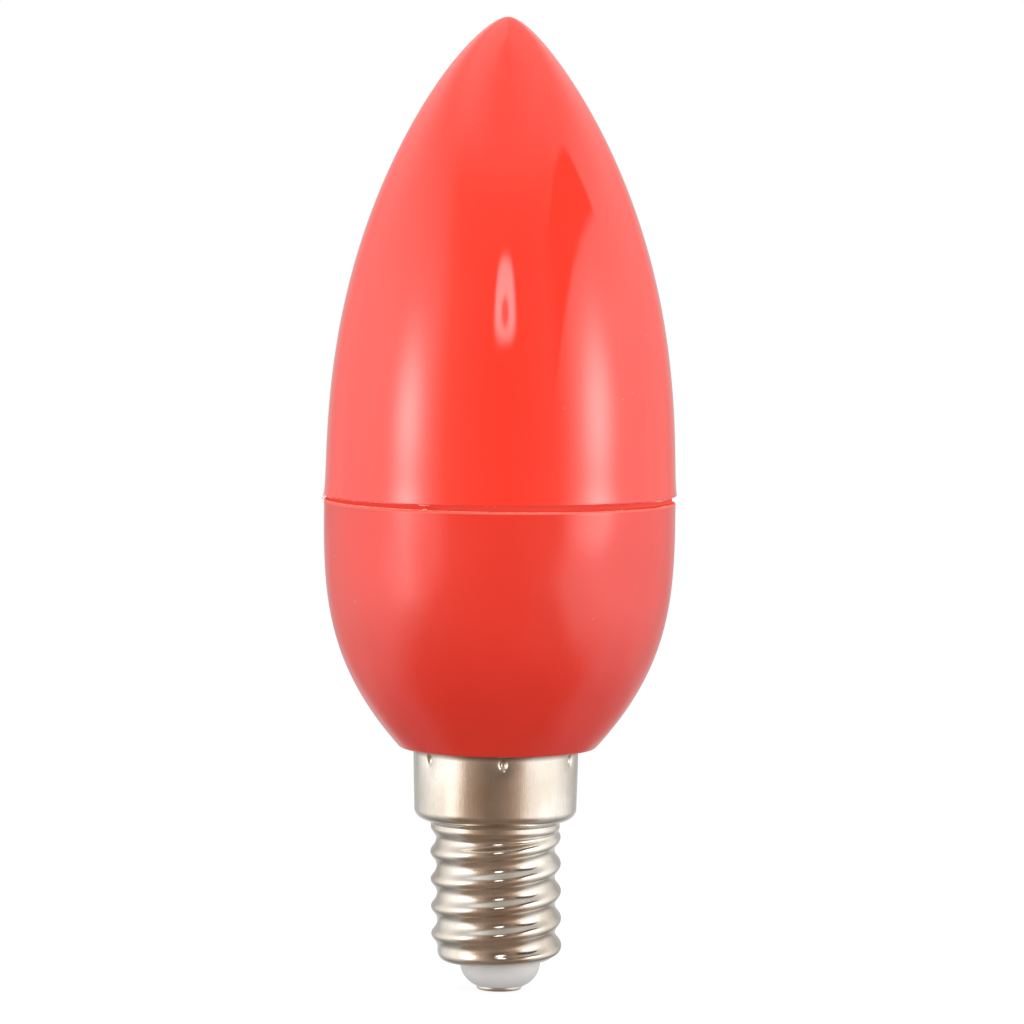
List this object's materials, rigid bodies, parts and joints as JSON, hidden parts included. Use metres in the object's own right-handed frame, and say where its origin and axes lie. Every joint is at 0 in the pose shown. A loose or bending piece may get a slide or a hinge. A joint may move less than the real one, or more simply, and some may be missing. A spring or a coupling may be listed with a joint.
{
  "type": "led candle bulb",
  "caption": "LED lamp in candle shape: a red plastic flame over a red cup, on a nickel-plated screw cap with a centre contact.",
  "frame": {"origin": "on the lamp's axis, level with the end face of the centre contact", "axes": "+Z along the lamp's axis to the tip, +Y away from the picture's viewer, +X to the right in the picture"},
  "size_m": [0.036, 0.036, 0.1],
  "materials": {
    "diffuser": "glossy translucent red, moulded",
    "housing": "satin red, moulded",
    "screw_shell": "bright nickel plate on drawn sheet, with fine upright marks",
    "insulator": "plain white, moulded",
    "centre_contact": "nickel plate, pressed"
  },
  "bodies": {
    "root": {"diffuser": "diffuser", "housing": "housing", "screw_shell": "screw_shell", "insulator": "insulator", "centre_contact": "centre_contact"}
  },
  "joints": []
}
